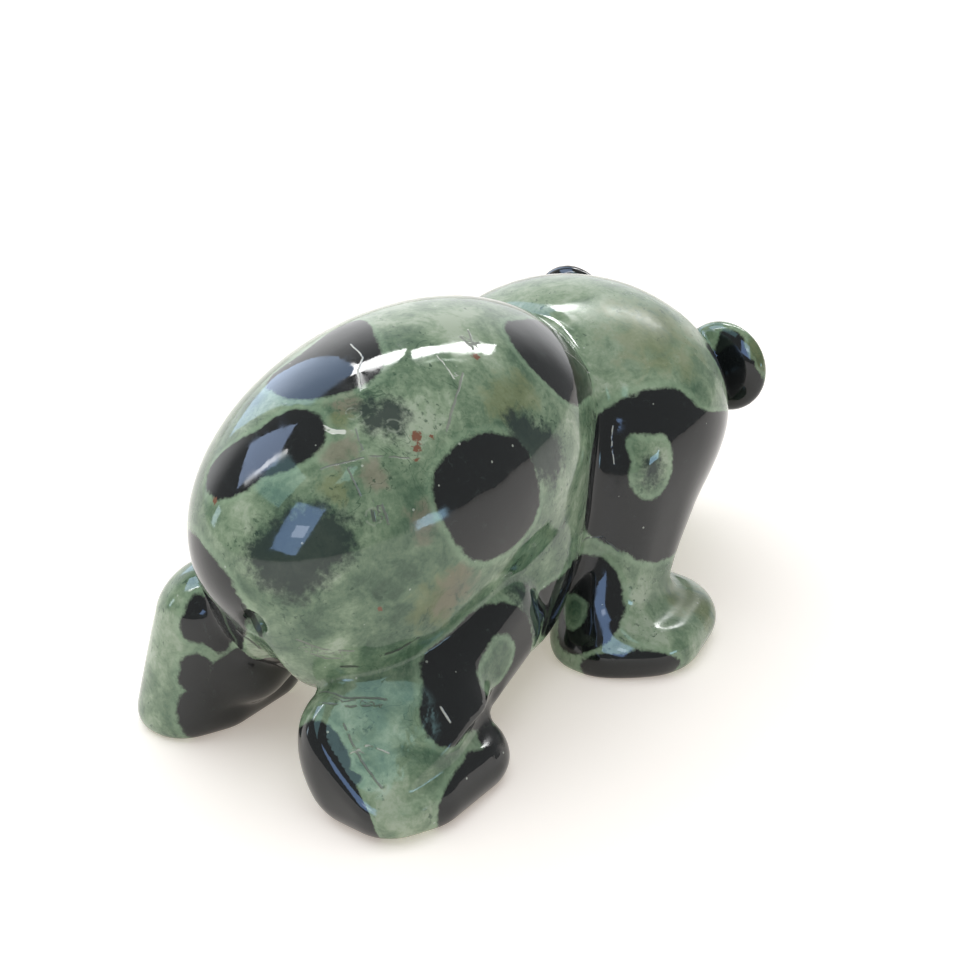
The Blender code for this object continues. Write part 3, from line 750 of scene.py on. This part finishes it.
    # Clouds: dark grains, crowded in the middle and sparse at the rim
    cloud_mm = layer("cloud")
    spread = span(noise(1.3, 4.0, 0.62), 0.28, 0.72, -0.9, 0.9, "LINEAR")
    cloud_edge = maths("ADD", cloud_mm, spread)
    cloud = span(cloud_edge, 1.3, -0.6, 0.0, 0.9)
    colour = tint(cloud, colour, "#22302f")
    colour = tint(dark, colour, ink)

    # Grains of rust, small rings and fine marks, among them painted shade along the haunch crease
    # and in the tail's notch and cleft
    rust = span(maths("ADD", layer("rust"), span(fine, 0.3, 0.7, -0.2, 0.2)), 0.15, 0.45)
    rust = maths("MULTIPLY", rust, span(layer("rust"), 0.0, 0.1))
    colour = tint(rust, colour, "#7d5643")
    ring = span(layer("ring"), 0.16, 0.06, 0.0, 0.5)
    colour = tint(ring, colour, "#9aa596")
    wiggle = span(noise(0.6, 2.0, 0.6), 0.3, 0.7, -0.08, 0.08, "LINEAR")
    across = maths("ABSOLUTE", maths("ADD", layer("across"), wiggle))
    beside = maths("SUBTRACT", across, layer("line_half"))
    line = maths("MULTIPLY", span(beside, 0.03, -0.03), span(layer("away"), 0.50, 0.35))
    line = maths("MULTIPLY", line, span(noise(0.9, 2.0), 0.36, 0.46))
    # The marks' dark ink is also the painted shade in the haunch crease and in the tail's notch and
    # cleft
    mark_and_shade_ink = tint(layer("pale"), "#161b18", "#e4e8de")
    colour = tint(maths("MULTIPLY", line, 0.75), colour, mark_and_shade_ink)
    # Specks of dust and polish, mostly seen on the dark orbs
    specks = add(tree, "ShaderNodeTexVoronoi", {"Vector": mm, "Scale": 0.55})
    lone = span(add(tree, "ShaderNodeSeparateColor", {0: specks.outputs["Color"]}).outputs[0],
                0.55, 0.60)
    speck = maths("MULTIPLY", span(specks.outputs["Distance"], 0.075, 0.045), lone)
    colour = tint(maths("MULTIPLY", speck, 0.55), colour, "#c6cfc4")
    tree.links.new(colour, shader.inputs["Base Color"])

    # Gloss: buffed, duller in soft patches, in the cracks and where the buff hardly reached
    patches = span(noise(0.45, 5.0, 0.68), 0.42, 0.64, 0.035, 0.13)
    dull = maths("ADD", patches, maths("MULTIPLY", line, 0.4))
    dull = maths("ADD", dull, maths("MULTIPLY", span(layer("satin"), 0.0, 0.5), 0.24))
    tree.links.new(dull, shader.inputs["Roughness"])
    shader.inputs["IOR"].default_value = QUARTZ_IOR

    # Relief: hand-buffed waves of 4 mm and of 1 mm, and cracks a few hundredths of one deep
    waves = maths("ADD", noise(0.22, 1.0), maths("MULTIPLY", noise(0.9, 2.0), 0.10))
    relief = maths("SUBTRACT", waves, maths("MULTIPLY", line, 0.35))
    bump = add(tree, "ShaderNodeBump",
               {"Strength": 1.0, "Distance": WAVE_DEPTH, "Height": relief})
    tree.links.new(bump.outputs[0], shader.inputs["Normal"])
    return material


def paper():
    """Plain white paper under the bear, in full light, so its own glow lifts the shadows."""
    material = bpy.data.materials.new("white_paper")
    material.use_nodes = True
    tree = material.node_tree
    shader = tree.nodes["Principled BSDF"]
    place = add(tree, "ShaderNodeTexCoord").outputs["Object"]
    grain = add(tree, "ShaderNodeTexNoise", {"Vector": place, "Scale": 900.0}).outputs["Fac"]
    tone = add(tree, "ShaderNodeMapRange", {0: grain, 3: 0.86, 4: 0.88}).outputs[0]
    colour = add(tree, "ShaderNodeCombineColor", {0: tone, 1: tone, 2: tone}).outputs[0]
    tree.links.new(colour, shader.inputs["Base Color"])
    shader.inputs["Roughness"].default_value = 0.9
    shader.inputs["Specular IOR Level"].default_value = 0.1
    shader.inputs["Emission Color"].default_value = linear("#fff1e2")
    shader.inputs["Emission Strength"].default_value = PAPER_GLOW
    return material


def floor():
    """The table that the bear stands on, covered in paper."""
    bm = bmesh.new()
    bmesh.ops.create_grid(bm, x_segments=1, y_segments=1, size=TABLE_HALF)
    mesh = bpy.data.meshes.new("table")
    bm.to_mesh(mesh)
    bm.free()
    table = bpy.data.objects.new("table", mesh)
    bpy.context.scene.collection.objects.link(table)
    table.data.materials.append(paper())


def heading(azimuth, elevation):
    """The direction from the bear at this azimuth from its face and height above the table."""
    around, above = math.radians(azimuth), math.radians(elevation)
    return Vector((math.sin(around) * math.cos(above), -math.cos(around) * math.cos(above),
                   math.sin(above)))


def window(name, first, last, width_deg, colour, radiance, distance=1.2, seen=True, lights=False):
    """A bright rectangle that runs from one direction to another, each an azimuth and elevation.
    It can be a reflection, a lamp or both."""
    start, end = heading(*first) * distance, heading(*last) * distance
    middle = (start + end) / 2
    back = middle.normalized()
    along = (end - start).normalized()
    light = bpy.data.lights.new(name, "AREA")
    light.shape = "RECTANGLE"
    light.size = (end - start).length
    light.size_y = 2 * middle.length * math.tan(math.radians(width_deg / 2))
    light.color = linear(colour)[:3]
    light.energy = radiance * math.pi * light.size * light.size_y
    lamp = bpy.data.objects.new(name, light)
    lamp.location = middle + Vector((0, 0, AIM_HEIGHT))
    lamp.rotation_mode = "QUATERNION"
    lamp.rotation_quaternion = Matrix((along, back.cross(along), back)).transposed().to_quaternion()
    lamp.visible_camera = False
    lamp.visible_glossy = seen
    lamp.visible_diffuse = lights
    bpy.context.scene.collection.objects.link(lamp)


def surroundings():
    """A pale room: brightest beyond the bear and near the table, dimmer behind the camera."""
    world = bpy.data.worlds.new("room")
    world.use_nodes = True
    tree = world.node_tree
    way = add(tree, "ShaderNodeTexCoord").outputs["Generated"]
    beyond = add(tree, "ShaderNodeVectorMath", {0: way, 1: heading(BRIGHT_AZIMUTH, 0)},
                 operation="DOT_PRODUCT").outputs["Value"]
    height = add(tree, "ShaderNodeSeparateXYZ", {0: way}).outputs[2]
    far = add(tree, "ShaderNodeMapRange", {0: beyond, 1: 0.50, 2: 0.80, 3: 0.0, 4: BRIGHT_GLOW},
              interpolation_type="SMOOTHSTEP").outputs[0]
    low = add(tree, "ShaderNodeMapRange", {0: height, 1: 0.30, 2: 0.80, 3: 1.0, 4: 0.25},
              interpolation_type="SMOOTHSTEP").outputs[0]
    level = add(tree, "ShaderNodeMath", {0: far, 1: low, 2: ROOM_GLOW},
                operation="MULTIPLY_ADD").outputs[0]
    background = tree.nodes["Background"]
    background.inputs["Color"].default_value = linear("#f6f7f8")
    tree.links.new(level, background.inputs["Strength"])
    bpy.context.scene.world = world


def camera():
    """The place from which the photograph was taken."""
    lens = bpy.data.cameras.new("camera")
    lens.lens = CAMERA_LENS
    lens.sensor_width = CAMERA_SENSOR
    lens.clip_start = CAMERA_NEAR
    seer = bpy.data.objects.new("camera", lens)
    down = math.radians(CAMERA_DOWN_DEG)
    ahead = Vector((CAMERA_AHEAD[0] * math.cos(down), CAMERA_AHEAD[1] * math.cos(down),
                    -math.sin(down)))
    seer.location = CAMERA_PLACE
    seer.rotation_mode = "QUATERNION"
    seer.rotation_quaternion = ahead.to_track_quat("-Z", "Y")
    bpy.context.scene.collection.objects.link(seer)
    bpy.context.scene.camera = seer


carving = bpy.data.objects.new("bear_carving", carved_bear())
bpy.context.scene.collection.objects.link(carving)
carving.data.materials.append(jasper())
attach(carving, "root")
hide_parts("bear")

floor()
surroundings()
# Windows: first and last direction, width in degrees, colour and brightness
window("sky_strip_left", (55, 56), (29, 57), 8, "#ffffff", 17)
window("sky_strip_right", (24, 56.5), (357, 38), 6.5, "#ffffff", 17)
window("sash_line", (12, 61), (352, 49), 1.0, "#f4fff4", 5)
window("side_sash", (54, 50), (44, 74), 2.0, "#ffffff", 9)
window("far_pane", (72, 10), (68, 60), 19, "#a4c4ee", 2.6)
window("tall_pane", (112, 34), (122, 60), 22, "#b4ccf4", 5)
window("tall_pane_bars", (128, 36), (133, 62), 3, "#ffffff", 9)
window("curtain", (160, 42), (160, 64), 30, "#a4dce4", 2.0)
window("near_pane", (198, 8), (210, 41), 22, "#94b8ee", 5)
window("near_pane_glint", (206, 20), (208, 28), 8, "#e6eeff", 4)
window("top_pane", (230, 52), (236, 60), 6, "#b0e4e8", 2.4)
window("leg_pane", (120, 3), (120, 14), 6, "#d8f0ff", 4)
window("table_pane", (266, 3), (277, 3), 6, "#a8d4f0", 7, distance=0.3)
window("overhead", (110, 36), (290, 66), 60, "#ffffff", 1.7, distance=1.4, seen=False, lights=True)
camera()

bpy.context.scene.view_settings.view_transform = "Standard"
bpy.context.view_layer.update()
